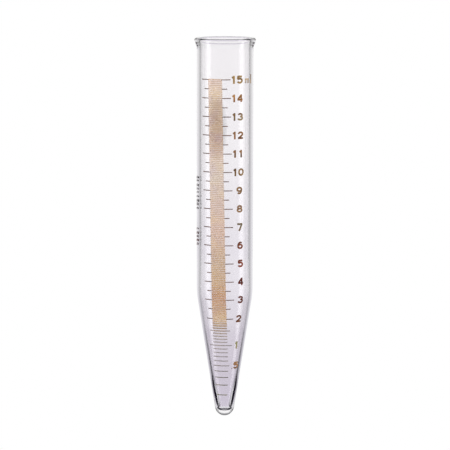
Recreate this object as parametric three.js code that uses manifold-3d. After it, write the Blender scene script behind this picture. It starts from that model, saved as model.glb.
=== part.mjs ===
// A graduated conical test tube: one blown glass body with a beaded rim, and a fired enamel print of
// graduation lines and numbers on the outside. Millimetres, +Z up, the origin at the lowest point of
// the tip on the tube's axis, and the print facing -Y.

import * as THREE from "three";
import { mergeVertices } from "three/addons/utils/BufferGeometryUtils.js";
import Module from "manifold-3d";

const wasm = await Module();
wasm.setup();

// ---- glass ----
const TUBE_LENGTH = 118.3;
const BARREL_RADIUS = 8.7;
const BORE_RADIUS = 7.5;
const TIP_RADIUS = 3.0;
const CONE_HALF_ANGLE = THREE.MathUtils.degToRad(8.95);
const CONE_WALL = 0.84;
const TIP_GLASS = 2.0;
const TIP_FLOOR_RADIUS = 1.77;
const TIP_FLOOR_ROUNDING = 1.0;
const TIP_THICKENS_BELOW = 11;
const SHOULDER_ROUNDING = 30;
const WALL_THINS_FROM = 50;
const WALL_THINS_TO = 28;
const RIM_RADIUS = 9.46;
const RIM_HEIGHT = 2.9;
const RIM_ROUNDING = 0.6;
const RIM_UNDERCUT = Math.PI / 8;
const MOUTH_FLARE = 0.25;
const GLASS_SEGMENTS = 48;
const ROUNDING_STEPS = { tip: 6, shoulder: 3, rimOutside: 4, rimInside: 3, floor: 3 };

// ---- print: volumes in millilitres ----
const FULL_VOLUME = 15;
const FINE_LOWEST_VOLUME = 0.1;
const CUBIC_MM_PER_ML = 1000;

// ---- print: places round the tube, in degrees from the front, positive to the right ----
const PRINT_CENTRE = -21;
const PRINT_SKEW = 0.128;
const ML_HALF_SPAN = 32;
const ML_SPREAD = 0.7;
const HALF_ML_HALF_SPAN = 25;
const HALF_ML_SPREAD = 0.9;
const FINE_HALF_WIDTH = 2.28;
const FINE_MAX_HALF_SPAN = 26;
const LABEL_OFFSET = 45;
const LONE_DIGIT_SHIFT = 2.3;
const LABEL_SPREAD = -0.25;
const UNIT_M_ANGLE = 50.5;
const UNIT_L_ANGLE = 64;

// ---- print: ink ----
const LINE_THICKNESS = 0.29;
const BAND_LAYER = { inner: 0.03, outer: 0.07 };
const LINE_LAYER = { inner: 0.1, outer: 0.18 };
const PLATE_LIFT = 0.03;
const PLATE_DEPTH = 0.08;
const ARC_STEP = 8;
const BAND_CONE_ROWS = 4;

// ---- print: characters ----
const DIGIT_HEIGHT = 2.34;
const DIGIT_WIDTH = 2.12;
const STROKE = 0.46;
const DIGIT_PITCH = 2.1;
const TOP_LABEL_SCALE = 1.06;
const UNIT_M = { width: 1.95, height: 1.5, stroke: 0.34 };
const UNIT_L = { width: 1.72, stroke: 0.4 };
const POINT_SIZE = 0.5;
const POINT_OFFSET = 0.49;
const FIVE_OFFSET = 0.93;
const CURVE_STEP = Math.PI / 8;

// ---- other marks ----
const SPOT = { angle: 200.5, height: 89.8, halfWidth: 3.85, halfHeight: 10.2 };
const SPOT_ROWS = 10;
const SPOT_END_ANGLE = 0.42 * Math.PI;
const SIDE_MARK = { angle: -90, halfWidth: 1.4 };
const SIDE_MARK_UPPER = { low: 65.1, high: 76 };
const SIDE_MARK_LOWER = { low: 53.9, high: 59.8 };

const AMBER_INK = new THREE.Color(0x9a6238);
const BROWN_INK = new THREE.Color(0x5d4037);
const PALE_ENAMEL = new THREE.Color(0xe9e6e2);
const GLASS_TINT = new THREE.Color(0xe8e6ef);
const GLASS_ROUGHNESS = 0.05;
const INK_ROUGHNESS = 0.6;
const ENAMEL_ROUGHNESS = 0.9;

const SAME_POINT = 1e-5;

const tube = new THREE.Group();

function radians(degrees) {
  return THREE.MathUtils.degToRad(degrees);
}

function addMesh(parent, name, geometry, color, roughness) {
  const material = new THREE.MeshStandardMaterial({ color, roughness, metalness: 0 });
  const mesh = new THREE.Mesh(geometry, material);
  mesh.name = name;
  parent.add(mesh);
  return mesh;
}

// The cone touches the tip's sphere, and meets the barrel at coneTop.
const coneSlope = Math.tan(CONE_HALF_ANGLE);
const coneRadiusAtZero = TIP_RADIUS / Math.cos(CONE_HALF_ANGLE) - TIP_RADIUS * coneSlope;
const coneTop = (BARREL_RADIUS - coneRadiusAtZero) / coneSlope;

function outerRadius(height) {
  return Math.min(BARREL_RADIUS, coneRadiusAtZero + coneSlope * height);
}

// Points of an arc in the profile plane, with both ends.
function arc(centreR, centreZ, radius, from, to, steps) {
  const points = [];
  for (let step = 0; step <= steps; step += 1) {
    const angle = from + ((to - from) * step) / steps;
    points.push(new THREE.Vector2(centreR + radius * Math.cos(angle), centreZ + radius * Math.sin(angle)));
  }
  return points;
}

// The arc that rounds the corner between the cone below and the barrel above. The leans are the angles
// by which the two sides draw in from the upright, away from the corner.
function shoulderArc(corner, lowerLean, upperLean) {
  const middle = (upperLean - lowerLean) / 2;
  const depth = SHOULDER_ROUNDING / Math.cos((lowerLean + upperLean) / 2);
  const centreR = corner.x - depth * Math.cos(middle);
  const centreZ = corner.y - depth * Math.sin(middle);
  return arc(centreR, centreZ, SHOULDER_ROUNDING, -lowerLean, upperLean, ROUNDING_STEPS.shoulder);
}

// The inside of the shoulder, from the barrel's wall down to the cone's, which is thinner: the wall
// thins evenly between WALL_THINS_FROM and WALL_THINS_TO.
function innerShoulder() {
  const shoulderWall = (BARREL_RADIUS - BORE_RADIUS + CONE_WALL) / 2;
  const corner = new THREE.Vector2(BARREL_RADIUS - shoulderWall, coneTop);
  const above = new THREE.Vector2(BORE_RADIUS, WALL_THINS_FROM);
  const below = new THREE.Vector2(outerRadius(WALL_THINS_TO) - CONE_WALL, WALL_THINS_TO);
  const lowerLean = Math.atan2(corner.x - below.x, corner.y - below.y);
  const upperLean = Math.atan2(corner.x - above.x, above.y - corner.y);
  return [above, ...shoulderArc(corner, lowerLean, upperLean).reverse(), below];
}

// The section of the glass, from the tip up the outside, over the rim and down the inside.
function glassProfile() {
  const steps = ROUNDING_STEPS;
  const tip = arc(0, TIP_RADIUS, TIP_RADIUS, -Math.PI / 2, -CONE_HALF_ANGLE, steps.tip);
  tip[0].x = 0;
  const lipTop = TUBE_LENGTH - RIM_ROUNDING;
  const lipOuterR = RIM_RADIUS - RIM_ROUNDING;
  const lipInnerR = BORE_RADIUS + MOUTH_FLARE + RIM_ROUNDING;
  const thickeningR = outerRadius(TIP_THICKENS_BELOW) - CONE_WALL;
  const floorEdgeR = TIP_FLOOR_RADIUS - TIP_FLOOR_ROUNDING;
  const floorEdgeZ = TIP_GLASS + TIP_FLOOR_ROUNDING;
  return [
    ...tip,
    ...shoulderArc(new THREE.Vector2(BARREL_RADIUS, coneTop), CONE_HALF_ANGLE, 0),
    new THREE.Vector2(BARREL_RADIUS, TUBE_LENGTH - RIM_HEIGHT),
    ...arc(lipOuterR, lipTop, RIM_ROUNDING, -RIM_UNDERCUT, Math.PI / 2, steps.rimOutside),
    ...arc(lipInnerR, lipTop, RIM_ROUNDING, Math.PI / 2, Math.PI, steps.rimInside),
    new THREE.Vector2(BORE_RADIUS, TUBE_LENGTH - RIM_HEIGHT),
    ...innerShoulder(),
    new THREE.Vector2(thickeningR, TIP_THICKENS_BELOW),
    ...arc(floorEdgeR, floorEdgeZ, TIP_FLOOR_ROUNDING, 0, -Math.PI / 2, steps.floor),
    new THREE.Vector2(0, TIP_GLASS),
  ];
}

function addGlass() {
  const geometry = new THREE.LatheGeometry(glassProfile(), GLASS_SEGMENTS);
  geometry.rotateX(Math.PI / 2);
  addMesh(tube, "glass_tube", geometry, GLASS_TINT, GLASS_ROUGHNESS);
}

// For the scale the inside counts as a plain cone under a plain cylinder. The cone, drawn on downwards,
// would come to a point innerApexDepth below zero, and it meets the cylinder at boreStart.
const innerApexDepth = (coneRadiusAtZero - CONE_WALL) / coneSlope;
const boreStart = BORE_RADIUS / coneSlope - innerApexDepth;

// Height at which the inside holds a volume in millilitres: above boreStart it is a cylinder, and
// below it a cone cut off by the floor.
function lineHeight(volume) {
  const coneFactor = (Math.PI * coneSlope ** 2) / 3;
  const belowFloor = (TIP_GLASS + innerApexDepth) ** 3;
  const coneVolume = coneFactor * ((boreStart + innerApexDepth) ** 3 - belowFloor);
  const asked = volume * CUBIC_MM_PER_ML;
  if (asked > coneVolume) {
    return boreStart + (asked - coneVolume) / (Math.PI * BORE_RADIUS ** 2);
  }
  return Math.cbrt(asked / coneFactor + belowFloor) - innerApexDepth;
}

const fullLine = lineHeight(FULL_VOLUME);

// The print leans a little along the barrel, and runs straight down the cone.
function printCentre(height) {
  return PRINT_CENTRE + PRINT_SKEW * (fullLine - Math.max(height, coneTop));
}

function narrowing(height) {
  return BARREL_RADIUS - outerRadius(height);
}

function onTube(height, degrees, lift) {
  const angle = radians(degrees - 90);
  const radius = outerRadius(height) + lift;
  return [radius * Math.cos(angle), radius * Math.sin(angle), height];
}

// A thin closed layer on the outside of the glass. heights are its rows from low to high, and
// leftOf and rightOf give its edges in degrees at each row.
function layerGeometry(heights, leftOf, rightOf, layer) {
  let columns = 1;
  for (const height of heights) {
    columns = Math.max(columns, Math.ceil((rightOf(height) - leftOf(height)) / ARC_STEP));
  }
  const positions = [];
  for (const lift of [layer.inner, layer.outer]) {
    for (const height of heights) {
      for (let column = 0; column <= columns; column += 1) {
        const degrees = THREE.MathUtils.lerp(leftOf(height), rightOf(height), column / columns);
        positions.push(...onTube(height, degrees, lift));
      }
    }
  }
  const rowLength = columns + 1;
  const layerLength = rowLength * heights.length;
  const index = [];
  const quad = (a, b, c, d) => index.push(a, b, c, a, c, d);
  for (let row = 0; row + 1 < heights.length; row += 1) {
    for (let column = 0; column < columns; column += 1) {
      const inside = row * rowLength + column;
      const outside = inside + layerLength;
      quad(inside, inside + rowLength, inside + rowLength + 1, inside + 1);
      quad(outside, outside + 1, outside + rowLength + 1, outside + rowLength);
    }
    const left = row * rowLength;
    const right = left + columns;
    quad(left, left + layerLength, left + layerLength + rowLength, left + rowLength);
    quad(right, right + rowLength, right + layerLength + rowLength, right + layerLength);
  }
  for (let column = 0; column < columns; column += 1) {
    const top = layerLength - rowLength + column;
    quad(column, column + 1, column + 1 + layerLength, column + layerLength);
    quad(top, top + layerLength, top + 1 + layerLength, top + 1);
  }
  const geometry = new THREE.BufferGeometry();
  geometry.setAttribute("position", new THREE.Float32BufferAttribute(positions, 3));
  geometry.setIndex(index);
  geometry.computeVertexNormals();
  return geometry;
}

function addLine(name, volume, halfSpan) {
  const height = lineHeight(volume);
  const centre = printCentre(height);
  const heights = [height - LINE_THICKNESS / 2, height + LINE_THICKNESS / 2];
  const geometry = layerGeometry(heights, () => centre - halfSpan, () => centre + halfSpan, LINE_LAYER);
  addMesh(tube, name, geometry, BROWN_INK, INK_ROUGHNESS);
}

function addLines() {
  for (let volume = 1; volume <= FULL_VOLUME; volume += 1) {
    const wholeSpan = ML_HALF_SPAN + ML_SPREAD * narrowing(lineHeight(volume));
    addLine(`line_${volume}_ml`, volume, wholeSpan);
    const half = volume - 0.5;
    const halfSpan = HALF_ML_HALF_SPAN + HALF_ML_SPREAD * narrowing(lineHeight(half));
    addLine(`line_${volume - 1}_5_ml`, half, halfSpan);
  }
}

// The tenth-of-a-millilitre lines lie so close together that one thin layer stands for them.
function addFineLines() {
  const lowest = lineHeight(FINE_LOWEST_VOLUME);
  const heights = [];
  for (let row = 0; row <= BAND_CONE_ROWS; row += 1) {
    heights.push(THREE.MathUtils.lerp(lowest, coneTop, row / BAND_CONE_ROWS));
  }
  heights.push(fullLine);
  const halfSpan = (height) => Math.min(
    FINE_MAX_HALF_SPAN,
    THREE.MathUtils.radToDeg(FINE_HALF_WIDTH / outerRadius(height)),
  );
  const left = (height) => printCentre(height) - halfSpan(height);
  const right = (height) => printCentre(height) + halfSpan(height);
  const geometry = layerGeometry(heights, left, right, BAND_LAYER);
  addMesh(tube, "fine_tenth_lines", geometry, AMBER_INK, INK_ROUGHNESS);
}

// ---- characters: each is a few strokes, joined. Their centre lines run from -1 to 1 each way. ----

function ellipsePath(centreX, centreY, radiusX, radiusY, fromDegrees, toDegrees) {
  const from = radians(fromDegrees);
  const to = radians(toDegrees);
  const steps = Math.ceil(Math.abs(to - from) / CURVE_STEP);
  const points = [];
  for (let step = 0; step <= steps; step += 1) {
    const angle = THREE.MathUtils.lerp(from, to, step / steps);
    points.push([centreX + radiusX * Math.cos(angle), centreY + radiusY * Math.sin(angle)]);
  }
  return points;
}

const FULL_HEIGHT = DIGIT_HEIGHT / (DIGIT_HEIGHT - STROKE);
const SIX_BOWL = ellipsePath(0, -0.38, 0.95, 0.62, 0, 360);
const SIX_TAIL = ellipsePath(0.1, -0.25, 1.05, 1.25, 180, 55);
const GLYPHS = {
  0: [ellipsePath(0, 0, 0.95, 1, 0, 360)],
  1: [[[0.2, -FULL_HEIGHT], [0.2, FULL_HEIGHT]], [[-0.55, 0.62], [0.2, 0.92]]],
  2: [
    [...ellipsePath(0, 0.4, 0.92, 0.6, 175, -25), [-0.85, -1]],
    [[-1.15, -1], [1.1, -1]],
  ],
  3: [ellipsePath(-0.05, 0.52, 0.85, 0.48, 165, -90), ellipsePath(-0.05, -0.46, 0.98, 0.54, 95, -165)],
  4: [
    [[0.5, -FULL_HEIGHT], [0.5, FULL_HEIGHT]],
    [[-1.15, -0.5], [1.2, -0.5]],
    [[-1, -0.45], [0.45, 1.1]],
  ],
  5: [
    [[-0.9, 1], [0.95, 1]],
    [[-0.75, 1.05], [-0.85, 0.1]],
    ellipsePath(-0.02, -0.34, 0.97, 0.66, 148, -155),
  ],
  6: [SIX_BOWL, SIX_TAIL],
  7: [[[-1.1, 1], [1.1, 1]], [[0.95, 1.05], [-0.3, -FULL_HEIGHT]]],
  8: [ellipsePath(0, 0.52, 0.8, 0.48, 0, 360), ellipsePath(0, -0.46, 0.97, 0.54, 0, 360)],
  9: [SIX_BOWL, SIX_TAIL].map((path) => path.map(([x, y]) => [-x, -y])),
  m: [
    [[-1, -1.2], [-1, 1.2]],
    [...ellipsePath(-0.5, 0.3, 0.5, 0.75, 180, 0), [0, -1.2]],
    [...ellipsePath(0.5, 0.3, 0.5, 0.75, 180, 0), [1, -1.2]],
  ],
  l: [[[0, -FULL_HEIGHT], [0, FULL_HEIGHT]]],
  point: [[[0, -1], [0, 1]]],
};

// The shape that a pen of the stroke's width leaves along a centre line.
function strokeShape(points, width) {
  const ends = points[0].distanceTo(points[points.length - 1]);
  const isRing = points.length > 3 && ends < SAME_POINT;
  const path = isRing ? points.slice(0, -1) : points;
  const left = [];
  const right = [];
  path.forEach((point, index) => {
    const before = isRing ? path[(index - 1 + path.length) % path.length] : path[Math.max(index - 1, 0)];
    const after = isRing ? path[(index + 1) % path.length] : path[Math.min(index + 1, path.length - 1)];
    const direction = after.clone().sub(before).normalize();
    const side = new THREE.Vector2(-direction.y, direction.x).multiplyScalar(width / 2);
    left.push(point.clone().add(side));
    right.push(point.clone().sub(side));
  });
  if (isRing) {
    const shape = new THREE.Shape(right);
    shape.holes.push(new THREE.Path(left));
    return shape;
  }
  return new THREE.Shape([...left, ...right.reverse()]);
}

function toSolid(geometry) {
  const bare = geometry.clone();
  bare.deleteAttribute("normal");
  bare.deleteAttribute("uv");
  const merged = mergeVertices(bare, SAME_POINT);
  return new wasm.Manifold(new wasm.Mesh({
    numProp: 3,
    vertProperties: new Float32Array(merged.attributes.position.array),
    triVerts: new Uint32Array(merged.index.array),
  }));
}

function toGeometry(solid) {
  const mesh = solid.getMesh();
  const geometry = new THREE.BufferGeometry();
  geometry.setAttribute("position", new THREE.Float32BufferAttribute(mesh.vertProperties, 3));
  geometry.setIndex([...mesh.triVerts]);
  geometry.computeVertexNormals();
  return geometry;
}

// A character as a flat plate in the XY plane, centred on the origin, with its back at z = 0.
function glyphGeometry(character, width, height, stroke) {
  const scaleX = (width - stroke) / 2;
  const scaleY = (height - stroke) / 2;
  const strokes = GLYPHS[character].map((path) => {
    const points = path.map(([x, y]) => new THREE.Vector2(x * scaleX, y * scaleY));
    const options = { depth: PLATE_DEPTH, bevelEnabled: false, curveSegments: 1 };
    return toSolid(new THREE.ExtrudeGeometry(strokeShape(points, stroke), options));
  });
  return toGeometry(strokes.reduce((whole, stroke) => whole.add(stroke)));
}

// Lays a flat character against the glass, leaning with the cone.
function addGlyph(name, geometry, height, degrees) {
  const lean = height < coneTop ? CONE_HALF_ANGLE : 0;
  const turn = new THREE.Group();
  turn.rotation.z = radians(degrees);
  tube.add(turn);
  const plate = addMesh(turn, name, geometry, AMBER_INK, INK_ROUGHNESS);
  plate.position.set(0, -(outerRadius(height) + PLATE_LIFT), height);
  plate.rotation.x = Math.PI / 2 + lean;
}

function labelAngle(height) {
  return printCentre(height) + LABEL_OFFSET + LABEL_SPREAD * narrowing(height);
}

function addLabels() {
  const digit = (character, scale) => glyphGeometry(
    character, DIGIT_WIDTH * scale, DIGIT_HEIGHT * scale, STROKE * scale);
  for (let volume = 1; volume <= FULL_VOLUME; volume += 1) {
    const height = lineHeight(volume);
    const centre = labelAngle(height);
    const scale = volume === FULL_VOLUME ? TOP_LABEL_SCALE : 1;
    const digits = [...String(volume)];
    if (digits.length === 1) {
      addGlyph(`numeral_${volume}`, digit(digits[0], scale), height, centre + LONE_DIGIT_SHIFT);
    } else {
      const half = THREE.MathUtils.radToDeg(DIGIT_PITCH / 2 / BARREL_RADIUS);
      addGlyph(`numeral_${volume}_tens`, digit(digits[0], scale), height, centre - half);
      addGlyph(`numeral_${volume}_units`, digit(digits[1], scale), height, centre + half);
    }
  }
}

function addHalfLabel() {
  const height = lineHeight(0.5);
  const centre = labelAngle(height);
  const pointTurn = THREE.MathUtils.radToDeg(POINT_OFFSET / outerRadius(height));
  const fiveTurn = THREE.MathUtils.radToDeg(FIVE_OFFSET / outerRadius(height));
  const point = glyphGeometry("point", POINT_SIZE * 2, POINT_SIZE * 2, POINT_SIZE);
  const pointHeight = height - (DIGIT_HEIGHT - POINT_SIZE) / 2;
  addGlyph("point_of_0_5", point, pointHeight, centre - pointTurn);
  const five = glyphGeometry("5", DIGIT_WIDTH, DIGIT_HEIGHT, STROKE);
  addGlyph("numeral_0_5", five, height, centre + fiveTurn);
}

function addUnit() {
  const drop = (DIGIT_HEIGHT * TOP_LABEL_SCALE - UNIT_M.height) / 2;
  const small = glyphGeometry("m", UNIT_M.width, UNIT_M.height, UNIT_M.stroke);
  addGlyph("unit_m", small, fullLine - drop, UNIT_M_ANGLE);
  const tall = glyphGeometry("l", UNIT_L.width, DIGIT_HEIGHT * TOP_LABEL_SCALE, UNIT_L.stroke);
  addGlyph("unit_l", tall, fullLine, UNIT_L_ANGLE);
}

// The pale oval for writing on, at the back of the barrel.
function addMarkingSpot() {
  const fullest = Math.sin(SPOT_END_ANGLE);
  const heights = [];
  for (let row = 0; row <= SPOT_ROWS; row += 1) {
    const angle = THREE.MathUtils.lerp(-SPOT_END_ANGLE, SPOT_END_ANGLE, row / SPOT_ROWS);
    heights.push(SPOT.height + SPOT.halfHeight * Math.sin(angle) / fullest);
  }
  const halfSpan = (height) => {
    const across = fullest * (height - SPOT.height) / SPOT.halfHeight;
    return THREE.MathUtils.radToDeg(SPOT.halfWidth / BARREL_RADIUS) * Math.sqrt(1 - across * across);
  };
  const geometry = layerGeometry(
    heights,
    (height) => SPOT.angle - halfSpan(height),
    (height) => SPOT.angle + halfSpan(height),
    BAND_LAYER,
  );
  addMesh(tube, "marking_spot", geometry, PALE_ENAMEL, ENAMEL_ROUGHNESS);
}

function addSideMark(name, low, high) {
  const halfSpan = THREE.MathUtils.radToDeg(SIDE_MARK.halfWidth / BARREL_RADIUS);
  const left = () => SIDE_MARK.angle - halfSpan;
  const right = () => SIDE_MARK.angle + halfSpan;
  const geometry = layerGeometry([low, high], left, right, LINE_LAYER);
  addMesh(tube, name, geometry, BROWN_INK, INK_ROUGHNESS);
}

addGlass();
addLines();
addFineLines();
addLabels();
addHalfLabel();
addUnit();
addMarkingSpot();
addSideMark("side_mark_upper", SIDE_MARK_UPPER.low, SIDE_MARK_UPPER.high);
addSideMark("side_mark_lower", SIDE_MARK_LOWER.low, SIDE_MARK_LOWER.high);

export default tube;
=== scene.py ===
"""A graduated conical test tube: clear blown glass with a fired enamel scale, hanging in a white studio.

Metres, +Z up, the print facing -Y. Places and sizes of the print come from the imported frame."""

import math
import random

import bmesh
import bpy
from mathutils import Matrix, Vector


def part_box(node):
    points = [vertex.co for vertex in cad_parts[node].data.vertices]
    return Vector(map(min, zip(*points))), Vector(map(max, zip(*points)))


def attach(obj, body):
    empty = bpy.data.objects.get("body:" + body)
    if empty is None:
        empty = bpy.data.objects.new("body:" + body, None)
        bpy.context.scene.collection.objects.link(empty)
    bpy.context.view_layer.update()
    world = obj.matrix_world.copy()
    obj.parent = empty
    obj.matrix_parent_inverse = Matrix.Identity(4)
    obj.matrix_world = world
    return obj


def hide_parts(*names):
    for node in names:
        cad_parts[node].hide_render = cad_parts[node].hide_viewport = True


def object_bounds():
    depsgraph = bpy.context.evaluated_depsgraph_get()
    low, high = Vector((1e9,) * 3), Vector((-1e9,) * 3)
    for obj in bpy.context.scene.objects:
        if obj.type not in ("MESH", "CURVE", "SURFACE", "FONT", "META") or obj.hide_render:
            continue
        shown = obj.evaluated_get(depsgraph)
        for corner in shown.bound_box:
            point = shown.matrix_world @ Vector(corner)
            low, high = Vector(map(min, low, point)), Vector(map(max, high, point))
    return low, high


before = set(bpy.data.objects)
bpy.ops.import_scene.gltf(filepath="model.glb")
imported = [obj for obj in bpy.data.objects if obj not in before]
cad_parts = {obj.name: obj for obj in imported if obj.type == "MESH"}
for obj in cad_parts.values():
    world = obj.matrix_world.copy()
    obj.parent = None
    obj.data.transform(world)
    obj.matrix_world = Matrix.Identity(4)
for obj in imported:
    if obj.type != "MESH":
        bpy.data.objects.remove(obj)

MM = 0.001
CAD_LOW, CAD_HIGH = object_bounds()
CAD_NODES = sorted(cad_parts)

# ---- glass ----
TUBE_LENGTH = CAD_HIGH.z
RIM_RADIUS = CAD_HIGH.x
BARREL_RADIUS = 8.7 * MM
BORE_RADIUS = 7.5 * MM
TIP_RADIUS = 3.0 * MM
CONE_HALF_ANGLE = math.radians(8.95)
CONE_WALL = 0.84 * MM
TIP_GLASS = 2.0 * MM
TIP_FLOOR_RADIUS = 1.77 * MM
TIP_FLOOR_ROUNDING = 1.0 * MM
TIP_THICKENS_BELOW = 11 * MM
SHOULDER_ROUNDING = 30 * MM
WALL_THINS_FROM = 50 * MM
WALL_THINS_TO = 28 * MM
SLIGHT_BEND_ROUNDING = 100 * MM
RIM_HEIGHT = 2.9 * MM
RIM_ROUNDING = 0.6 * MM
RIM_UNDERCUT = math.pi / 8
MOUTH_DEPTH = 3.5 * MM
NECK_ROUNDING = 1.6 * MM
MOUTH_FLARE = 0.25 * MM
GLASS_SEGMENTS = 240
GLASS_RING_PITCH = 1.2 * MM
TIP_STEPS = 28
LIP_OUTER_STEPS = 12
LIP_INNER_STEPS = 10
FLOOR_STEPS = 8
SHOULDER_STEPS = 14
NECK_STEPS = 6
THINNING_STEPS = 4
THICKENING_STEPS = 8
GLASS_IOR = 1.474
GLASS_TINT = (0.985, 0.98, 0.99, 1)
GLASS_WAVES = (160, 160, 22)
GLASS_WAVE_HEIGHT = 0.004 * MM
GLASS_HAZE_SCALE = 90
GLASS_HAZE_EDGES = (0.4, 0.8)
GLASS_ROUGHNESS = (0.0, 0.03)

# ---- print ----
LINE_THICKNESS = 0.28 * MM
FINE_THICKNESS = 0.26 * MM
# Lines closer than CROWDED_PITCH are wholly crowded, and spread to CROWDED_COVER of their pitch. Where
# they are further apart, down the cone, the crowding falls off with the power CROWDING_FALL.
CROWDED_COVER = 0.9
CROWDED_PITCH = 0.735 * MM
CROWDING_FALL = 6
BAND_EDGE = math.radians(2)
INK_SUNK = 0.012 * MM
INK_PROUD = 0.045 * MM
INK_EDGE = 0.7
INK_STEP = math.radians(1.2)
FEWEST_INK_STEPS = 6
INK_WANDER = 0.012 * MM
LINE_SEED = 11
FINE_SEED = 23
FINE_PER_ML = 10
FULL_VOLUME = 15
CUBIC_M_PER_ML = 1e-6
PRINT_CENTRE = math.radians(-21)
PRINT_SKEW = math.radians(0.128) / MM
FINE_HALF_WIDTH = 2.28 * MM
FINE_MAX_HALF_SPAN = math.radians(26)
CAD_INK_LIFT = 0.18 * MM
DIGIT_STROKE = 0.56 / 2.34
UNIT_M_STROKE = 0.32 / 1.5
UNIT_L_STROKE = 0.4 / 2.48
POINT_STROKE = 0.5
DIGIT_WIDTH_SHARE = 2.12 / 2.34
UNIT_M_WIDTH_SHARE = 1.95 / 1.5
FULL = 1 / (1 - DIGIT_STROKE)
CURVE_STEP = 7.5
INK_PATH_STEP = 0.12 * MM
SAME_POINT = 1e-9

# ---- ink: colours by height in millimetres, some with an alpha ----
DIGIT_INK_BY_HEIGHT = [
    (17, (0.40, 0.19, 0.07)),
    (24, (0.29, 0.27, 0.13)),
    (31, (0.24, 0.09, 0.04)),
    (38, (0.16, 0.03, 0.01)),
    (44, (0.24, 0.03, 0.01)),
    (55, (0.30, 0.08, 0.03)),
    (61, (0.22, 0.17, 0.09)),
    (67, (0.32, 0.17, 0.08)),
    (77, (0.30, 0.18, 0.07)),
    (88, (0.30, 0.12, 0.035)),
    (94, (0.28, 0.20, 0.10)),
    (99, (0.39, 0.14, 0.025)),
    (105, (0.52, 0.33, 0.12)),
]
DIGIT_THICK_SPOTS = (0.42, 0.38, 0.36)
DIGIT_PATCH_SCALE = 420
DIGIT_PATCH_EDGES = (0.4, 0.6)
LINE_INK_BY_HEIGHT = [
    (8, (0.26, 0.25, 0.08, 0.85)),
    (13, (0.18, 0.16, 0.11, 0.8)),
    (17, (0.24, 0.19, 0.13, 0.5)),
    (27, (0.34, 0.25, 0.14, 0.42)),
    (30, (0.22, 0.12, 0.09, 0.85)),
]
LINE_PATCHES = (0.55, 0.58, 0.6)
LINE_PATCH_SCALE = 300
LINE_PATCH_EDGES = (0.35, 0.65)
CROWDED_PATCH_SCALE = 260
CROWDED_PATCH_EDGES = (0.38, 0.62)
CROWDED_OCHRE = (1.0, 0.98, 0.74)
CROWDED_ROSE = (0.88, 0.81, 0.94)
# Crowded ink colour and alpha by height. Between 85 and 99 mm it is darker and more opaque as painted shade,
# where the marking spot on the back stands behind the band and takes away light from behind. The other stops
# are the ink's own colour.
CROWDED_INK_AND_SPOT_SHADE_BY_HEIGHT = [
    (5, (0.24, 0.22, 0.06, 0.6)),
    (22, (0.56, 0.44, 0.24, 0.32)),
    (28, (0.68, 0.46, 0.21, 0.37)),
    (33, (0.77, 0.45, 0.12, 0.48)),
    (39, (0.60, 0.24, 0.01, 0.54)),
    (44, (0.70, 0.37, 0.01, 0.47)),
    (50, (0.62, 0.32, 0.03, 0.43)),
    (60, (0.86, 0.46, 0.13, 0.39)),
    (70, (0.76, 0.46, 0.19, 0.39)),
    (76, (0.74, 0.51, 0.34, 0.39)),
    (82, (0.80, 0.50, 0.23, 0.39)),
    (85, (0.70, 0.41, 0.27, 0.44)),
    (99, (0.68, 0.41, 0.18, 0.44)),
    (102, (0.87, 0.54, 0.24, 0.39)),
]
SIDE_INK_BY_HEIGHT = [(59, (0.30, 0.06, 0.05)), (62, (0.34, 0.27, 0.27))]
SIDE_PATCHES = (0.7, 0.7, 0.7)
SIDE_PATCH_EDGES = (0.3, 0.7)
UNTOUCHED = (1, 1, 1)
INK_SPECULAR = 0.25
INK_GRAIN_SCALE = 9000
INK_ROUGHNESS = (0.45, 0.7)
INK_BUMP = 0.25
SURFACE_GRAIN = 0.02 * MM

# ---- other marks ----
SPOT_HALF_WIDTH = 3.85 * MM
SPOT_LOW = 0.004 * MM
SPOT_HIGH = 0.03 * MM
SPOT_RINGS = 8
SPOT_CORNERS = 64
SPOT_WHITE = (0.83, 0.82, 0.80)
SPOT_GREY = (0.74, 0.73, 0.70)
SPOT_GRAIN_SCALE = 1200
SPOT_GRAIN_EDGES = (0.3, 0.7)
SPOT_ROUGHNESS = (0.7, 0.9)
SPOT_ALPHA = (0.03, 0.3)
SPOT_SPECKLE = (0.85, 1.15)
SPOT_BUMP = 0.4
UPPER_BLOCKS = 9
LOWER_BLOCKS = 5
BLOCK_SHARE = 0.54
BLOCK_THICKNESS_SPREAD = (0.65, 1.35)
BLOCK_SHIFT = 0.1
BLOCK_CUT_LEFT = 0.3
BLOCK_CUT_RIGHT = 0.2

# ---- camera ----
CAMERA_DISTANCE = 650 * MM
RIM_VIEW_ANGLE = math.radians(3.0)
CAMERA_PITCH = math.radians(8.06)
CAMERA_ROLL = math.radians(0.1)
CAMERA_SIDE = 0.06 * MM
CAMERA_LENS = 169.2

# ---- studio: elevations from the horizon and bearings from straight behind the tube, in degrees ----
# Through the glass the room behind the tube has the colours of SEEN_BY_ELEVATION, and further round
# those of SEEN_ROUND_THE_SIDES. Between the elevations of a band it is darker by bearing as well. The
# glass mirrors the colours of REFLECTED_BY_ELEVATION, darkened by bearing.
FLOOR_DROP = 0.3
FLOOR_SIZE = 60
SEEN_BY_ELEVATION = [
    (-90, (0.7, 0.69, 0.72)),
    (-62, (0.7, 0.69, 0.72)),
    (-54, (0.06, 0.055, 0.07)),
    (-36, (0.08, 0.07, 0.09)),
    (-30, (0.86, 0.85, 0.88)),
    (-21, (0.86, 0.85, 0.88)),
    (-17, (0.69, 0.64, 0.74)),
    (-12, (0.71, 0.66, 0.74)),
    (-9, (0.88, 0.85, 0.90)),
    (-6, (1, 0.98, 0.99)),
    (22, (1, 1, 1)),
    (30, (0.42, 0.42, 0.43)),
    (45, (0.3, 0.3, 0.31)),
    (60, (0.12, 0.12, 0.13)),
    (90, (0.1, 0.1, 0.11)),
]
SEEN_ROUND_THE_SIDES = [
    (-90, (0.7, 0.69, 0.72)),
    (-30, (0.84, 0.83, 0.86)),
    (-14, (0.88, 0.87, 0.90)),
    (-5, (1, 1, 1)),
    (30, (1, 1, 1)),
    (90, (0.4, 0.4, 0.42)),
]
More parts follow.
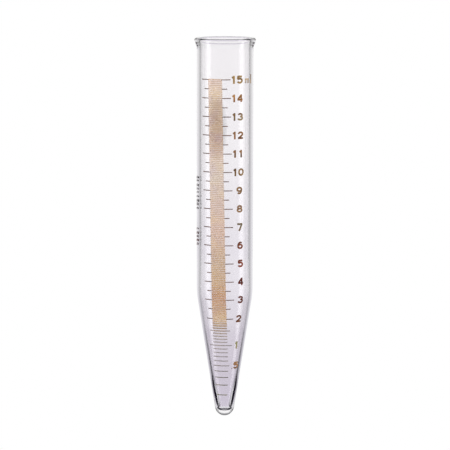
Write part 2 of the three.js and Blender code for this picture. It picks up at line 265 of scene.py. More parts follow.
SIDES_BY_BEARING = [(0, 0), (36, 0), (50, 1), (180, 1)]
LOW_BAND = [(-20.5, 0), (-19, 1), (-16, 1), (-14, 0)]
LOW_BAND_BY_BEARING = [(0, 1), (12, 1), (24, 0.35), (34, 0.08), (75, 0.08), (95, 1), (180, 1)]
UPPER_BAND = [(0, 0), (8, 1)]
UPPER_BAND_BY_BEARING = [(0, 1), (24, 1), (36, 0.5), (50, 0.35), (75, 0.35), (95, 1), (180, 1)]
REFLECTED_BY_ELEVATION = [
    (-90, (0.5, 0.49, 0.51)),
    (-60, (0.5, 0.49, 0.51)),
    (-52, (0.02, 0.02, 0.03)),
    (-22, (0.02, 0.015, 0.03)),
    (-19.5, (0.08, 0.07, 0.09)),
    (-18.3, (0.30, 0.28, 0.32)),
    (-17, (0.62, 0.60, 0.66)),
    (-12, (0.86, 0.84, 0.90)),
    (-4, (1, 0.99, 1)),
    (8, (1, 1, 1)),
    (12, (0.85, 0.85, 0.85)),
    (30, (1, 1, 1)),
    (60, (0.3, 0.3, 0.3)),
    (90, (0.2, 0.2, 0.2)),
]
REFLECTED_BY_BEARING = [
    (0, 0.97), (12, 0.92), (26, 0.72), (34, 0.64), (43, 0.6), (52, 0.15), (70, 0.2), (95, 0.5), (130, 0.35),
    (180, 0.25),
]
STRIP_WIDTH = 0.16
STRIP_HEIGHT = 1.2
STRIP_DISTANCE = 0.6
STRIP_AZIMUTH = 80
STRIP_RADIANCE = 1.6
FILL_SIZE = 0.8
FILL_DISTANCE = 1.0
FILL_ELEVATION = math.radians(55)
FILL_RADIANCE = 0.8
BOUNCES = 24
TRANSMISSION_BOUNCES = 20
GLOSSY_BOUNCES = 12


def link(obj):
    bpy.context.scene.collection.objects.link(obj)
    return obj


def mesh_object(name, vertices, faces, material, shares=None):
    """shares, if given, is one number for each vertex, which the material reads under the name share."""
    mesh = bpy.data.meshes.new(name)
    mesh.from_pydata(vertices, [], faces)
    if shares:
        mesh.attributes.new("share", "FLOAT", "POINT").data.foreach_set("value", shares)
    mesh.validate()
    mesh.materials.append(material)
    work = bmesh.new()
    work.from_mesh(mesh)
    bmesh.ops.recalc_face_normals(work, faces=work.faces)
    work.to_mesh(mesh)
    work.free()
    for polygon in mesh.polygons:
        polygon.use_smooth = True
    return link(bpy.data.objects.new(name, mesh))


def add_piece(obj, slot, *nodes):
    """Attaches the object to the root body and hides the CAD nodes that it stands in for. The slot, the
    record's material slot it belongs to, is not used.
    """
    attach(obj, "root")
    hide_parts(*nodes)
    return obj


# ---------------------------------------------------------------- shape of the glass

CONE_SLOPE = math.tan(CONE_HALF_ANGLE)
CONE_RADIUS_AT_ZERO = TIP_RADIUS / math.cos(CONE_HALF_ANGLE) - TIP_RADIUS * CONE_SLOPE
CONE_TOP = (BARREL_RADIUS - CONE_RADIUS_AT_ZERO) / CONE_SLOPE
INNER_APEX_DEPTH = (CONE_RADIUS_AT_ZERO - CONE_WALL) / CONE_SLOPE
BORE_START = BORE_RADIUS / CONE_SLOPE - INNER_APEX_DEPTH


def arc(centre_r, centre_z, radius, start, end, steps):
    """Points (r, z) of an arc in the profile plane, with both ends."""
    points = []
    for step in range(steps + 1):
        angle = start + (end - start) * step / steps
        points.append((centre_r + radius * math.cos(angle), centre_z + radius * math.sin(angle)))
    return points


def rounded_corner(before, corner, after, radius, steps):
    """The arc that rounds a corner of the profile between its two neighbours."""
    corner = Vector(corner)
    towards_before = (Vector(before) - corner).normalized()
    towards_after = (Vector(after) - corner).normalized()
    half_angle = towards_before.angle(towards_after) / 2
    middle = corner + (towards_before + towards_after).normalized() * radius / math.sin(half_angle)
    first = corner + towards_before * radius / math.tan(half_angle) - middle
    last = corner + towards_after * radius / math.tan(half_angle) - middle
    start = math.atan2(first.y, first.x)
    turn = (math.atan2(last.y, last.x) - start + math.pi) % (2 * math.pi) - math.pi
    return arc(middle.x, middle.y, radius, start, start + turn, steps)


def finer(points, step):
    """The same path with extra points, so that no two are further apart than step."""
    path = [Vector(points[0])]
    for end in map(Vector, points[1:]):
        start = path[-1]
        pieces = max(1, math.ceil((end - start).length / step))
        path += [start.lerp(end, part / pieces) for part in range(1, pieces + 1)]
    return path


def glass_profile():
    """The section of the glass, from the tip up the outside, over the rim and down the inside."""
    tip = arc(0, TIP_RADIUS, TIP_RADIUS, -math.pi / 2, -CONE_HALF_ANGLE, TIP_STEPS)
    lip_top = TUBE_LENGTH - RIM_ROUNDING
    lip_outer_radius = RIM_RADIUS - RIM_ROUNDING
    lip_outer = arc(lip_outer_radius, lip_top, RIM_ROUNDING, -RIM_UNDERCUT, math.pi / 2, LIP_OUTER_STEPS)
    lip_inner_radius = BORE_RADIUS + MOUTH_FLARE + RIM_ROUNDING
    lip_inner = arc(lip_inner_radius, lip_top, RIM_ROUNDING, math.pi / 2, math.pi, LIP_INNER_STEPS)
    floor_edge = arc(TIP_FLOOR_RADIUS - TIP_FLOOR_ROUNDING, TIP_GLASS + TIP_FLOOR_ROUNDING,
                     TIP_FLOOR_ROUNDING, 0, -math.pi / 2, FLOOR_STEPS)

    shoulder = (BARREL_RADIUS, CONE_TOP)
    neck = (BARREL_RADIUS, TUBE_LENGTH - RIM_HEIGHT)
    inner_neck = (BORE_RADIUS, TUBE_LENGTH - MOUTH_DEPTH)
    thinning_start = (BORE_RADIUS, WALL_THINS_FROM)
    inner_shoulder = (BARREL_RADIUS - (BARREL_RADIUS - BORE_RADIUS + CONE_WALL) / 2, CONE_TOP)
    thinning_end = (CONE_RADIUS_AT_ZERO + CONE_SLOPE * WALL_THINS_TO - CONE_WALL, WALL_THINS_TO)
    thickening = (CONE_RADIUS_AT_ZERO + CONE_SLOPE * TIP_THICKENS_BELOW - CONE_WALL, TIP_THICKENS_BELOW)
    outline = (
        tip + rounded_corner(tip[-1], shoulder, neck, SHOULDER_ROUNDING, SHOULDER_STEPS)
        + rounded_corner(shoulder, neck, lip_outer[0], NECK_ROUNDING, NECK_STEPS)
        + lip_outer + lip_inner
        + rounded_corner(lip_inner[-1], inner_neck, thinning_start, NECK_ROUNDING, NECK_STEPS)
        + rounded_corner(inner_neck, thinning_start, inner_shoulder, SLIGHT_BEND_ROUNDING, THINNING_STEPS)
        + rounded_corner(thinning_start, inner_shoulder, thinning_end, SHOULDER_ROUNDING, SHOULDER_STEPS)
        + rounded_corner(inner_shoulder, thinning_end, thickening, SLIGHT_BEND_ROUNDING, THINNING_STEPS)
        + rounded_corner(thinning_end, thickening, floor_edge[0], SLIGHT_BEND_ROUNDING, THICKENING_STEPS)
        + floor_edge + [(0, TIP_GLASS)]
    )
    outline[0] = (0, 0)
    return finer(outline, GLASS_RING_PITCH)


def lathe(profile, segments):
    """A closed solid of revolution from a profile that starts and ends on the axis."""
    vertices = [(0, 0, profile[0][1]), (0, 0, profile[-1][1])]
    ring = profile[1:-1]
    for radius, height in ring:
        for segment in range(segments):
            angle = 2 * math.pi * segment / segments
            vertices.append((radius * math.cos(angle), radius * math.sin(angle), height))
    faces = []
    last = 2 + (len(ring) - 1) * segments
    for segment in range(segments):
        following = (segment + 1) % segments
        faces.append((0, 2 + following, 2 + segment))
        faces.append((1, last + segment, last + following))
        for row in range(len(ring) - 1):
            low = 2 + row * segments
            high = low + segments
            faces.append((low + segment, low + following, high + following, high + segment))
    return vertices, faces


def outer_radius(height):
    """Radius of the outside of the glass, with the rounded shoulder."""
    reach = SHOULDER_ROUNDING * math.tan(CONE_HALF_ANGLE / 2)
    if height >= CONE_TOP + reach:
        return BARREL_RADIUS
    if height <= CONE_TOP + reach - SHOULDER_ROUNDING * math.sin(CONE_HALF_ANGLE):
        return CONE_RADIUS_AT_ZERO + CONE_SLOPE * height
    below = CONE_TOP + reach - height
    return BARREL_RADIUS - SHOULDER_ROUNDING + math.sqrt(SHOULDER_ROUNDING ** 2 - below ** 2)


def on_tube(height, angle, lift):
    """A point over the glass: angle is from the front, positive to the right."""
    radius = outer_radius(height) + lift
    return (radius * math.sin(angle), -radius * math.cos(angle), height)


# ---------------------------------------------------------------- materials

def new_material(name):
    material = bpy.data.materials.new(name)
    material.use_nodes = True
    nodes = material.node_tree.nodes
    return material, material.node_tree, nodes["Principled BSDF"]


def object_noise(tree, scale, detail):
    coordinates = tree.nodes.new("ShaderNodeTexCoord")
    noise = tree.nodes.new("ShaderNodeTexNoise")
    noise.inputs["Scale"].default_value = scale
    noise.inputs["Detail"].default_value = detail
    tree.links.new(coordinates.outputs["Object"], noise.inputs["Vector"])
    return noise


def add_bump(tree, shader, source, strength, distance):
    bump = tree.nodes.new("ShaderNodeBump")
    bump.inputs["Strength"].default_value = strength
    bump.inputs["Distance"].default_value = distance
    tree.links.new(source, bump.inputs["Height"])
    tree.links.new(bump.outputs["Normal"], shader.inputs["Normal"])


def map_range(tree, source, low, high, to_low, to_high):
    node = tree.nodes.new("ShaderNodeMapRange")
    for socket, value in (("From Min", low), ("From Max", high), ("To Min", to_low), ("To Max", to_high)):
        node.inputs[socket].default_value = value
    tree.links.new(source, node.inputs["Value"])
    return node.outputs["Result"]


def color_ramp(tree, source, stops):
    """A ramp through (position, colour) stops, its positions from 0 to 1. A colour may have an alpha."""
    node = tree.nodes.new("ShaderNodeValToRGB")
    elements = node.color_ramp.elements
    while len(elements) < len(stops):
        elements.new(0.5)
    for element, (position, color) in zip(elements, stops):
        element.position = position
        element.color = (*color, 1)[:4]
    tree.links.new(source, node.inputs["Fac"])
    return node.outputs["Color"]


def mix_colors(tree, mode, share, first, second):
    """Mixes two colours. share is a number or a socket."""
    node = tree.nodes.new("ShaderNodeMix")
    node.data_type = "RGBA"
    node.blend_type = mode
    if isinstance(share, (int, float)):
        node.inputs["Factor"].default_value = share
    else:
        tree.links.new(share, node.inputs["Factor"])
    tree.links.new(first, node.inputs["A"])
    tree.links.new(second, node.inputs["B"])
    return node.outputs["Result"]


def patches(tree, scale, detail, edges, first, second):
    """Two colours in soft patches, fading into each other between the edges."""
    noise = object_noise(tree, scale, detail)
    return color_ramp(tree, noise.outputs["Fac"], [(edges[0], first), (edges[1], second)])


def multiply(tree, first, second):
    node = tree.nodes.new("ShaderNodeMath")
    node.operation = "MULTIPLY"
    tree.links.new(first, node.inputs[0])
    tree.links.new(second, node.inputs[1])
    return node.outputs["Value"]


def vertex_share(tree):
    node = tree.nodes.new("ShaderNodeAttribute")
    node.attribute_name = "share"
    return node.outputs["Fac"]


def glass_material():
    """Clear glass, faintly wavy along its length as drawn tube is, with a trace of haze here and there."""
    material, tree, shader = new_material("clear_glass")
    shader.inputs["Base Color"].default_value = GLASS_TINT
    haze = object_noise(tree, GLASS_HAZE_SCALE, 3.0)
    roughness = map_range(tree, haze.outputs["Fac"], *GLASS_HAZE_EDGES, *GLASS_ROUGHNESS)
    tree.links.new(roughness, shader.inputs["Roughness"])
    shader.inputs["IOR"].default_value = GLASS_IOR
    shader.inputs["Transmission Weight"].default_value = 1.0
    coordinates = tree.nodes.new("ShaderNodeTexCoord")
    stretch = tree.nodes.new("ShaderNodeMapping")
    stretch.inputs["Scale"].default_value = GLASS_WAVES
    tree.links.new(coordinates.outputs["Object"], stretch.inputs["Vector"])
    waves = tree.nodes.new("ShaderNodeTexNoise")
    waves.inputs["Scale"].default_value = 1
    waves.inputs["Detail"].default_value = 1
    tree.links.new(stretch.outputs["Vector"], waves.inputs["Vector"])
    add_bump(tree, shader, waves.outputs["Fac"], 1.0, GLASS_WAVE_HEIGHT)
    return material


def color_by_height(tree, stops):
    """A ramp up the tube through (height in millimetres, colour) stops."""
    coordinates = tree.nodes.new("ShaderNodeTexCoord")
    split = tree.nodes.new("ShaderNodeSeparateXYZ")
    tree.links.new(coordinates.outputs["Object"], split.inputs["Vector"])
    up_the_tube = map_range(tree, split.outputs["Z"], 0, TUBE_LENGTH, 0, 1)
    places = [(height * MM / TUBE_LENGTH, shade) for height, shade in stops]
    return color_ramp(tree, up_the_tube, places)


def digit_ink_material():
    """Fired amber enamel: its brown changes up the tube, and is darker where it lies thick."""
    material, tree, shader = new_material("amber_ink")
    thick = patches(tree, DIGIT_PATCH_SCALE, 2.0, DIGIT_PATCH_EDGES, UNTOUCHED, DIGIT_THICK_SPOTS)
    color = mix_colors(tree, "MULTIPLY", 1, color_by_height(tree, DIGIT_INK_BY_HEIGHT), thick)
    tree.links.new(color, shader.inputs["Base Color"])
    finish_ink(tree, shader)
    return material


def scale_ink_material(name):
    """The scale's enamel: brown where a line stands alone, pale and thin where lines crowd together, with
    painted shade where the crowded lines pass in front of the marking spot.
    """
    material, tree, shader = new_material(name)
    crowding = vertex_share(tree)
    # Between 85 and 99 mm this colour holds painted shade, where the marking spot stands behind the band.
    crowded = color_by_height(tree, CROWDED_INK_AND_SPOT_SHADE_BY_HEIGHT)
    hues = patches(tree, CROWDED_PATCH_SCALE, 1.0, CROWDED_PATCH_EDGES, CROWDED_OCHRE, CROWDED_ROSE)
    patchy_ink_and_shade = mix_colors(tree, "MULTIPLY", 1, crowded, hues)
    alone = color_by_height(tree, LINE_INK_BY_HEIGHT)
    wear = patches(tree, LINE_PATCH_SCALE, 3.0, LINE_PATCH_EDGES, UNTOUCHED, LINE_PATCHES)
    worn = mix_colors(tree, "MULTIPLY", 1, alone, wear)
    tree.links.new(mix_colors(tree, "MIX", crowding, worn, patchy_ink_and_shade), shader.inputs["Base Color"])
    alpha = map_range(tree, crowding, 0, 1, 0, 1)
    tree.links.new(alone.node.outputs["Alpha"], alpha.node.inputs["To Min"])
    tree.links.new(crowded.node.outputs["Alpha"], alpha.node.inputs["To Max"])
    tree.links.new(alpha, shader.inputs["Alpha"])
    finish_ink(tree, shader)
    return material


def side_ink_material():
    """The ink of the side marks: dark red in the lower one and grey-brown in the upper one."""
    material, tree, shader = new_material("side_ink")
    wear = patches(tree, LINE_PATCH_SCALE, 3.0, SIDE_PATCH_EDGES, UNTOUCHED, SIDE_PATCHES)
    color = mix_colors(tree, "MULTIPLY", 1, color_by_height(tree, SIDE_INK_BY_HEIGHT), wear)
    tree.links.new(color, shader.inputs["Base Color"])
    finish_ink(tree, shader)
    return material


def finish_ink(tree, shader):
    """The matt, slightly grainy surface that all the prints share."""
    shader.inputs["Specular IOR Level"].default_value = INK_SPECULAR
    grain = object_noise(tree, INK_GRAIN_SCALE, 2.0)
    tree.links.new(map_range(tree, grain.outputs["Fac"], 0, 1, *INK_ROUGHNESS), shader.inputs["Roughness"])
    add_bump(tree, shader, grain.outputs["Fac"], INK_BUMP, SURFACE_GRAIN)


def spot_material():
    """Thin ground-white enamel, uneven all over and thinner towards its outline."""
    material, tree, shader = new_material("pale_enamel")
    grain = object_noise(tree, SPOT_GRAIN_SCALE, 4.0).outputs["Fac"]
    white_end, grey_end = SPOT_GRAIN_EDGES
    color = color_ramp(tree, grain, [(white_end, SPOT_WHITE), (grey_end, SPOT_GREY)])
    tree.links.new(color, shader.inputs["Base Color"])
    roughness = map_range(tree, grain, white_end, grey_end, *SPOT_ROUGHNESS)
    tree.links.new(roughness, shader.inputs["Roughness"])
    body = map_range(tree, vertex_share(tree), 0, 1, *SPOT_ALPHA)
    speckle = map_range(tree, grain, white_end, grey_end, *SPOT_SPECKLE)
    tree.links.new(multiply(tree, body, speckle), shader.inputs["Alpha"])
    add_bump(tree, shader, grain, SPOT_BUMP, SURFACE_GRAIN)
    return material


GLASS = glass_material()
DIGIT_INK = digit_ink_material()
FINE_INK = scale_ink_material("amber_fine_ink")
LINE_INK = scale_ink_material("brown_ink")
SIDE_INK = side_ink_material()
SPOT_ENAMEL = spot_material()


# ---------------------------------------------------------------- printed lines

def line_height(volume):
    """Height at which a plain cone under a plain cylinder, for the inside, holds a volume in millilitres."""
    cone_factor = math.pi * CONE_SLOPE ** 2 / 3
    below_floor = (TIP_GLASS + INNER_APEX_DEPTH) ** 3
    cone_volume = cone_factor * ((BORE_START + INNER_APEX_DEPTH) ** 3 - below_floor)
    asked = volume * CUBIC_M_PER_ML
    if asked > cone_volume:
        return BORE_START + (asked - cone_volume) / (math.pi * BORE_RADIUS ** 2)
    return (asked / cone_factor + below_floor) ** (1 / 3) - INNER_APEX_DEPTH


def print_centre(height):
    """The angle of the fine lines' middle, which leans a little along the barrel."""
    return PRINT_CENTRE + PRINT_SKEW * (line_height(FULL_VOLUME) - max(height, CONE_TOP))


def add_bar(bars, height, left, right, thickness, wander, share_at, crowded_thickness=0):
    """Adds one printed line to bars: a low ridge across the glass, a little uneven along its edges.

    share_at gives at each angle how crowded the line is there. Where that is 1, it has spread to the
    crowded thickness."""
    vertices, faces, shares = bars
    section = [(-1, -INK_SUNK), (-1, INK_PROUD / 2), (-INK_EDGE, INK_PROUD),
               (INK_EDGE, INK_PROUD), (1, INK_PROUD / 2), (1, -INK_SUNK)]
    count = len(section)
    steps = max(FEWEST_INK_STEPS, math.ceil((right - left) / INK_STEP))
    first = len(vertices)
    for step in range(steps + 1):
        angle = left + (right - left) * step / steps
        share = share_at(angle)
        spread = thickness + (crowded_thickness - thickness) * share
        half = spread / 2 + wander.uniform(-1, 1) * INK_WANDER
        for across, lift in section:
            vertices.append(on_tube(height + across * half, angle, lift))
            shares.append(share)
    for step in range(steps):
        here = first + step * count
        for side in range(count):
            following = (side + 1) % count
            faces.append((here + side, here + following, here + count + following, here + count + side))
    faces.append(tuple(first + side for side in reversed(range(count))))
    faces.append(tuple(first + steps * count + side for side in range(count)))


def bars_object(name, bars, material):
    vertices, faces, shares = bars
    return mesh_object(name, vertices, faces, material, shares=shares)


def fine_half_span(height):
    return min(FINE_MAX_HALF_SPAN, FINE_HALF_WIDTH / outer_radius(height))


def crowding_at(volume):
    """How crowded the fine lines are at a volume, 1 at most, and how thick they are where that is 1."""
    pitch = line_height(volume) - line_height(volume - 1 / FINE_PER_ML)
    return min(1, CROWDED_PITCH / pitch) ** CROWDING_FALL, CROWDED_COVER * pitch


def share_across_band(height, crowding):
    """How crowded a longer line is at an angle: it is so only where it crosses the fine lines."""
    def share_at(angle):
        inside = fine_half_span(height) - abs(angle - print_centre(height))
        return crowding * min(1, max(0, inside / BAND_EDGE))
    return share_at


def add_scale_lines():
    """The lines for whole and half millilitres, each at the place of its CAD line."""
    wander = random.Random(LINE_SEED)
    for node in [name for name in CAD_NODES if name.startswith("line_")]:
        low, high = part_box(node)
        height = (low.z + high.z) / 2
        reach = outer_radius(height) + CAD_INK_LIFT
        left = math.asin(low.x / reach)
        right = math.asin(high.x / reach)
        volume = float(node[len("line_"):-len("_ml")].replace("_", "."))
        crowding, crowded_thickness = crowding_at(volume)
        share_at = share_across_band(height, crowding)
        bars = ([], [], [])
        add_bar(bars, height, left, right, LINE_THICKNESS, wander, share_at, crowded_thickness)
        add_piece(bars_object("ink_" + node, bars, LINE_INK), "brown_ink", node)


def add_fine_lines():
    """The 120 lines for tenths of a millilitre, between the longer ones."""
    wander = random.Random(FINE_SEED)
    bars = ([], [], [])
    for tenth in range(1, FULL_VOLUME * FINE_PER_ML):
        if tenth % (FINE_PER_ML // 2) == 0:
            continue
        height = line_height(tenth / FINE_PER_ML)
        half_span = fine_half_span(height)
        centre = print_centre(height)
        crowding, crowded_thickness = crowding_at(tenth / FINE_PER_ML)
        left = centre - half_span
        right = centre + half_span
        add_bar(bars, height, left, right, FINE_THICKNESS, wander, lambda angle: crowding, crowded_thickness)
    add_piece(bars_object("ink_fine_tenth_lines", bars, FINE_INK), "amber_ink", "fine_tenth_lines")


# ---------------------------------------------------------------- printed characters

def curve(centre_x, centre_y, radius_x, radius_y, start, end):
    """Points of an elliptical arc, its angles in degrees."""
    steps = math.ceil(abs(end - start) / CURVE_STEP)
    points = []
    for step in range(steps + 1):
        angle = math.radians(start + (end - start) * step / steps)
        points.append((centre_x + radius_x * math.cos(angle), centre_y + radius_y * math.sin(angle)))
    return points


SIX = [curve(0, -0.38, 0.95, 0.62, 0, 360), curve(0.1, -0.25, 1.05, 1.25, 180, 55)]

# Centre lines of each character's strokes, from -1 to 1 each way. Strokes that reach FULL run to the
# character's full height.
GLYPHS = {
    "0": [curve(0, 0, 0.95, 1, 0, 360)],
    "1": [[(0.2, -FULL), (0.2, FULL)], [(-0.55, 0.62), (0.2, 0.92)]],
    "2": [curve(0, 0.4, 0.92, 0.6, 175, -25) + [(-0.85, -1)], [(-1.15, -1), (1.1, -1)]],
    "3": [curve(-0.05, 0.52, 0.85, 0.48, 165, -90), curve(-0.05, -0.46, 0.98, 0.54, 95, -165)],
    "4": [[(0.5, -FULL), (0.5, FULL)], [(-1.15, -0.5), (1.2, -0.5)], [(-1, -0.45), (0.45, 1.1)]],
    "5": [[(-0.9, 1), (0.95, 1)], [(-0.75, 1.05), (-0.85, 0.1)],
          curve(-0.02, -0.34, 0.97, 0.66, 148, -155)],
    "6": SIX,
    "7": [[(-1.1, 1), (1.1, 1)], [(0.95, 1.05), (-0.3, -FULL)]],
    "8": [curve(0, 0.52, 0.8, 0.48, 0, 360), curve(0, -0.46, 0.97, 0.54, 0, 360)],
    "9": [[(-x, -y) for x, y in stroke] for stroke in SIX],
    "m": [[(-1, -1.2), (-1, 1.2)], curve(-0.5, 0.3, 0.5, 0.75, 180, 0) + [(0, -1.2)],
          curve(0.5, 0.3, 0.5, 0.75, 180, 0) + [(1, -1.2)]],
    "l": [[(0, -FULL), (0, FULL)]],
    "point": [[(0, -1), (0, 1)]],
}


def stroke_object(points, width):
    """One stroke as a flat ribbon, one unit deep, in the XY plane."""
    is_ring = len(points) > 3 and (points[0] - points[-1]).length < SAME_POINT
    path = finer(points, INK_PATH_STEP)
    if is_ring:
        path = path[:-1]
    count = len(path)
    vertices = []
    for index, point in enumerate(path):
        before = path[index - 1] if is_ring or index else point
        after = path[(index + 1) % count] if is_ring or index + 1 < count else point
        direction = (after - before).normalized()
        side = Vector((-direction.y, direction.x)) * width / 2
        for edge in (point + side, point - side):
            vertices += [(edge.x, edge.y, 0), (edge.x, edge.y, 1)]
    faces = []
    for index in range(count if is_ring else count - 1):
        here = 4 * index
        following = 4 * ((index + 1) % count)
        for a, b in ((0, 1), (1, 3), (3, 2), (2, 0)):
            faces.append((here + a, here + b, following + b, following + a))
    if not is_ring:
        last = 4 * (count - 1)
        faces.append((0, 2, 3, 1))
        faces.append((last, last + 1, last + 3, last + 2))
    return mesh_object("stroke", vertices, faces, DIGIT_INK)


def glyph_mesh(character, width, height, stroke):
    """A character's joined strokes as a flat plate, one unit deep."""
    scale_x = (width - stroke) / 2
    scale_y = (height - stroke) / 2
    strokes = []
    for line in GLYPHS[character]:
        points = [Vector((x * scale_x, y * scale_y)) for x, y in line]
        strokes.append(stroke_object(points, stroke))
    whole = strokes[0]
    for other in strokes[1:]:
        union = whole.modifiers.new("join", "BOOLEAN")
        union.operation = "UNION"
        union.solver = "MANIFOLD"
        union.object = other
    evaluated = whole.evaluated_get(bpy.context.evaluated_depsgraph_get())
    mesh = bpy.data.meshes.new_from_object(evaluated)
    for stroke_piece in strokes:
        bpy.data.objects.remove(stroke_piece)
    return mesh


def add_character(node, character, stroke_share, width_share=DIGIT_WIDTH_SHARE):
    """Bends a character round the glass at the place of its CAD plate. The shares are of its height."""
    low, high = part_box(node)
    centre = (low + high) / 2
    angle = math.atan2(centre.x, -centre.y)
    lean = CONE_HALF_ANGLE if centre.z < CONE_TOP else 0
    tall = (high.z - low.z) / math.cos(lean)
    mesh = glyph_mesh(character, tall * width_share, tall, tall * stroke_share)
    xs = [vertex.co.x for vertex in mesh.vertices]
    ys = [vertex.co.y for vertex in mesh.vertices]
    middle_x = (min(xs) + max(xs)) / 2
    middle_y = (min(ys) + max(ys)) / 2
    for vertex in mesh.vertices:
        height = centre.z + (vertex.co.y - middle_y) * math.cos(lean)
        turn = angle + (vertex.co.x - middle_x) / outer_radius(centre.z)
        lift = INK_PROUD if vertex.co.z > 0.5 else -INK_SUNK
        vertex.co = on_tube(height, turn, lift)
    mesh.name = "ink_" + node
    mesh.materials.clear()
    mesh.materials.append(DIGIT_INK)
    for polygon in mesh.polygons:
        polygon.use_smooth = False
    add_piece(link(bpy.data.objects.new("ink_" + node, mesh)), "amber_ink", node)


def add_labels():
    for volume in range(1, FULL_VOLUME + 1):
        digits = str(volume)
        if len(digits) == 1:
            add_character(f"numeral_{volume}", digits, DIGIT_STROKE)
        else:
            add_character(f"numeral_{volume}_tens", digits[0], DIGIT_STROKE)
            add_character(f"numeral_{volume}_units", digits[1], DIGIT_STROKE)
    add_character("numeral_0_5", "5", DIGIT_STROKE)
    add_character("point_of_0_5", "point", POINT_STROKE, 1)
    add_character("unit_m", "m", UNIT_M_STROKE, UNIT_M_WIDTH_SHARE)
    add_character("unit_l", "l", UNIT_L_STROKE)


# ---------------------------------------------------------------- other marks

def add_marking_spot():
    """The pale oval for writing on: a thin film with a soft-edged outline, on the back."""
    low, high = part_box("marking_spot")
    centre = (low + high) / 2
    angle = math.atan2(centre.x, -centre.y)
    half_height = (high.z - low.z) / 2
    vertices, faces, fullness = [], [], []
    for lift in (SPOT_LOW, SPOT_HIGH):
        vertices.append(on_tube(centre.z, angle, lift))
        fullness.append(1)
        for ring in range(1, SPOT_RINGS + 1):
            share = ring / SPOT_RINGS
            fullness += [1 - share ** 2] * SPOT_CORNERS
            for corner in range(SPOT_CORNERS):
                turn = 2 * math.pi * corner / SPOT_CORNERS
                across = share * SPOT_HALF_WIDTH * math.cos(turn) / BARREL_RADIUS
                height = centre.z + share * half_height * math.sin(turn)
                vertices.append(on_tube(height, angle + across, lift))
    layer = 1 + SPOT_RINGS * SPOT_CORNERS
    for corner in range(SPOT_CORNERS):
        following = (corner + 1) % SPOT_CORNERS
        faces.append((0, 1 + following, 1 + corner))
        faces.append((layer, layer + 1 + corner, layer + 1 + following))
        for ring in range(SPOT_RINGS - 1):
            here = 1 + ring * SPOT_CORNERS
            out = here + SPOT_CORNERS
            faces.append((here + corner, here + following, out + following, out + corner))
            faces.append((layer + here + following, layer + here + corner,
                          layer + out + corner, layer + out + following))
        edge = 1 + (SPOT_RINGS - 1) * SPOT_CORNERS
        faces.append((edge + corner, edge + following, layer + edge + following, layer + edge + corner))
    spot = mesh_object("enamel_marking_spot", vertices, faces, SPOT_ENAMEL, shares=fullness)
    add_piece(spot, "pale_enamel", "marking_spot")


def add_side_mark(node, blocks):
    """A column of uneven plain blocks on the tube's left side, where small print runs up it.

    The number of blocks is also the seed of their unevenness."""
    wander = random.Random(blocks)
    low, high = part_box(node)
    pitch = (high.z - low.z) / blocks
    start = math.atan2(low.x, -low.y)
    end = math.atan2(high.x, -high.y)
    left, right = sorted((start, end))
    bars = ([], [], [])
    for block in range(blocks):
        height = low.z + (block + 0.5 + wander.uniform(-BLOCK_SHIFT, BLOCK_SHIFT)) * pitch
        thickness = pitch * BLOCK_SHARE * wander.uniform(*BLOCK_THICKNESS_SPREAD)
        block_left = left + wander.uniform(0, BLOCK_CUT_LEFT) * (right - left)
        block_right = right - wander.uniform(0, BLOCK_CUT_RIGHT) * (right - left)
        add_bar(bars, height, block_left, block_right, thickness, wander, lambda angle: 0)
    add_piece(bars_object("ink_" + node, bars, SIDE_INK), "brown_ink", node)


# ---------------------------------------------------------------- studio

def add_camera():
    """Looks down a little, so that the mouth shows as a narrow oval."""
    data = bpy.data.cameras.new("camera")
    data.lens = CAMERA_LENS
    camera = link(bpy.data.objects.new("camera", data))
    rise = CAMERA_DISTANCE * math.tan(RIM_VIEW_ANGLE)
    camera.location = (CAMERA_SIDE, -CAMERA_DISTANCE, TUBE_LENGTH + rise)
    look = Matrix.Rotation(math.pi / 2 - CAMERA_PITCH, 3, "X") @ Matrix.Rotation(CAMERA_ROLL, 3, "Z")
    camera.rotation_euler = look.to_euler()
    bpy.context.scene.camera = camera


def add_floor():
    """A white floor, far enough down to take no shadow of the tube."""
    material = bpy.data.materials.new("white_floor")
    material.use_nodes = True
    nodes = material.node_tree.nodes
    nodes.clear()
    glow = nodes.new("ShaderNodeEmission")
    output = nodes.new("ShaderNodeOutputMaterial")
    material.node_tree.links.new(glow.outputs["Emission"], output.inputs["Surface"])
    size = FLOOR_SIZE / 2
    corners = [(-size, -size, -FLOOR_DROP), (size, -size, -FLOOR_DROP),
               (size, size, -FLOOR_DROP), (-size, size, -FLOOR_DROP)]
    floor = mesh_object("floor", corners, [(0, 1, 2, 3)], material)
    floor.visible_glossy = False
    floor.visible_transmission = False
    floor.visible_diffuse = False
    floor.visible_shadow = False


def by_elevation(tree, height, stops):
    """A ramp over the elevation, from the height of a direction of length 1."""
    share = map_range(tree, height, -1, 1, 0, 1)
    places = [((1 + math.sin(math.radians(angle))) / 2, shade) for angle, shade in stops]
    return color_ramp(tree, share, places)


def by_bearing(tree, bearing, stops):
    """A grey ramp over the bearing, which is 0 straight behind the tube and 1 straight in front of it."""
    return color_ramp(tree, bearing, [(angle / 180, (shade,) * 3) for angle, shade in stops])


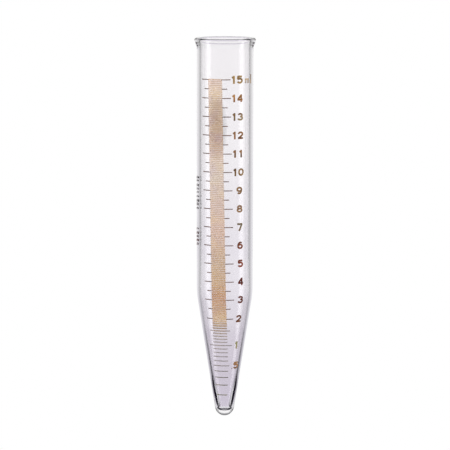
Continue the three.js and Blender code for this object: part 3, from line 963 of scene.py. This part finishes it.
def add_world():
    """A white room for the camera. In the glass it has shaded, darker corners to draw its edges with."""
    world = bpy.data.worlds.new("studio")
    bpy.context.scene.world = world
    world.use_nodes = True
    tree = world.node_tree
    tree.nodes.clear()
    output = tree.nodes.new("ShaderNodeOutputWorld")
    direction = tree.nodes.new("ShaderNodeTexCoord")
    split = tree.nodes.new("ShaderNodeSeparateXYZ")
    tree.links.new(direction.outputs["Generated"], split.inputs["Vector"])
    height = split.outputs["Z"]
    to_the_side = tree.nodes.new("ShaderNodeMath")
    to_the_side.operation = "ABSOLUTE"
    tree.links.new(split.outputs["X"], to_the_side.inputs[0])
    bearing = tree.nodes.new("ShaderNodeMath")
    bearing.operation = "ARCTAN2"
    tree.links.new(to_the_side.outputs["Value"], bearing.inputs[0])
    tree.links.new(split.outputs["Y"], bearing.inputs[1])
    bearing = map_range(tree, bearing.outputs["Value"], 0, math.pi, 0, 1)

    seen = by_elevation(tree, height, SEEN_BY_ELEVATION)
    seen_at_sides = by_elevation(tree, height, SEEN_ROUND_THE_SIDES)
    seen = mix_colors(tree, "MIX", by_bearing(tree, bearing, SIDES_BY_BEARING), seen, seen_at_sides)
    for band, shades in ((LOW_BAND, LOW_BAND_BY_BEARING), (UPPER_BAND, UPPER_BAND_BY_BEARING)):
        in_band = by_elevation(tree, height, [(angle, (share,) * 3) for angle, share in band])
        seen = mix_colors(tree, "MULTIPLY", in_band, seen, by_bearing(tree, bearing, shades))
    reflected = by_elevation(tree, height, REFLECTED_BY_ELEVATION)
    reflected = mix_colors(tree, "MULTIPLY", 1, reflected, by_bearing(tree, bearing, REFLECTED_BY_BEARING))

    path = tree.nodes.new("ShaderNodeLightPath")
    was_reflected = tree.nodes.new("ShaderNodeMath")
    was_reflected.operation = "GREATER_THAN"
    was_reflected.inputs[1].default_value = 0.5
    tree.links.new(path.outputs["Glossy Depth"], was_reflected.inputs[0])
    in_glass = tree.nodes.new("ShaderNodeBackground")
    around = mix_colors(tree, "MIX", was_reflected.outputs["Value"], seen, reflected)
    tree.links.new(around, in_glass.inputs["Color"])
    plain = tree.nodes.new("ShaderNodeBackground")
    plain.inputs["Color"].default_value = (1, 1, 1, 1)
    choose = tree.nodes.new("ShaderNodeMixShader")
    tree.links.new(path.outputs["Is Camera Ray"], choose.inputs["Fac"])
    tree.links.new(in_glass.outputs["Background"], choose.inputs[1])
    tree.links.new(plain.outputs["Background"], choose.inputs[2])
    tree.links.new(choose.outputs["Shader"], output.inputs["Surface"])


def add_strip_light(name, azimuth):
    """A tall soft light that leaves a long highlight down the glass."""
    data = bpy.data.lights.new(name, "AREA")
    data.shape = "RECTANGLE"
    data.size = STRIP_WIDTH
    data.size_y = STRIP_HEIGHT
    data.energy = STRIP_RADIANCE * math.pi * STRIP_WIDTH * STRIP_HEIGHT
    light = link(bpy.data.objects.new(name, data))
    angle = math.radians(azimuth)
    light.location = (STRIP_DISTANCE * math.sin(angle), -STRIP_DISTANCE * math.cos(angle), TUBE_LENGTH / 2)
    light.rotation_euler = (math.pi / 2, 0, angle)


def add_fill_light():
    """A soft light high above the camera, which lights the print and leaves no highlight on the barrel."""
    data = bpy.data.lights.new("fill", "AREA")
    data.shape = "SQUARE"
    data.size = FILL_SIZE
    data.energy = FILL_RADIANCE * math.pi * FILL_SIZE ** 2
    light = link(bpy.data.objects.new("fill", data))
    rise = FILL_DISTANCE * math.sin(FILL_ELEVATION)
    light.location = (0, -FILL_DISTANCE * math.cos(FILL_ELEVATION), TUBE_LENGTH / 2 + rise)
    light.rotation_euler = (math.pi / 2 - FILL_ELEVATION, 0, 0)


def set_up_rendering():
    """Enough bounces for light to pass through both walls of the tube and round the rim."""
    scene = bpy.context.scene
    scene.view_settings.view_transform = "Standard"
    scene.cycles.max_bounces = BOUNCES
    scene.cycles.transmission_bounces = TRANSMISSION_BOUNCES
    scene.cycles.glossy_bounces = GLOSSY_BOUNCES


glass_body = mesh_object("glass_body", *lathe(glass_profile(), GLASS_SEGMENTS), GLASS)
add_piece(glass_body, "clear_glass", "glass_tube")
add_scale_lines()
add_fine_lines()
add_labels()
add_marking_spot()
add_side_mark("side_mark_upper", UPPER_BLOCKS)
add_side_mark("side_mark_lower", LOWER_BLOCKS)
add_camera()
add_floor()
add_world()
add_strip_light("left_strip", -STRIP_AZIMUTH)
add_strip_light("right_strip", STRIP_AZIMUTH)
add_fill_light()
set_up_rendering()

bpy.context.view_layer.update()
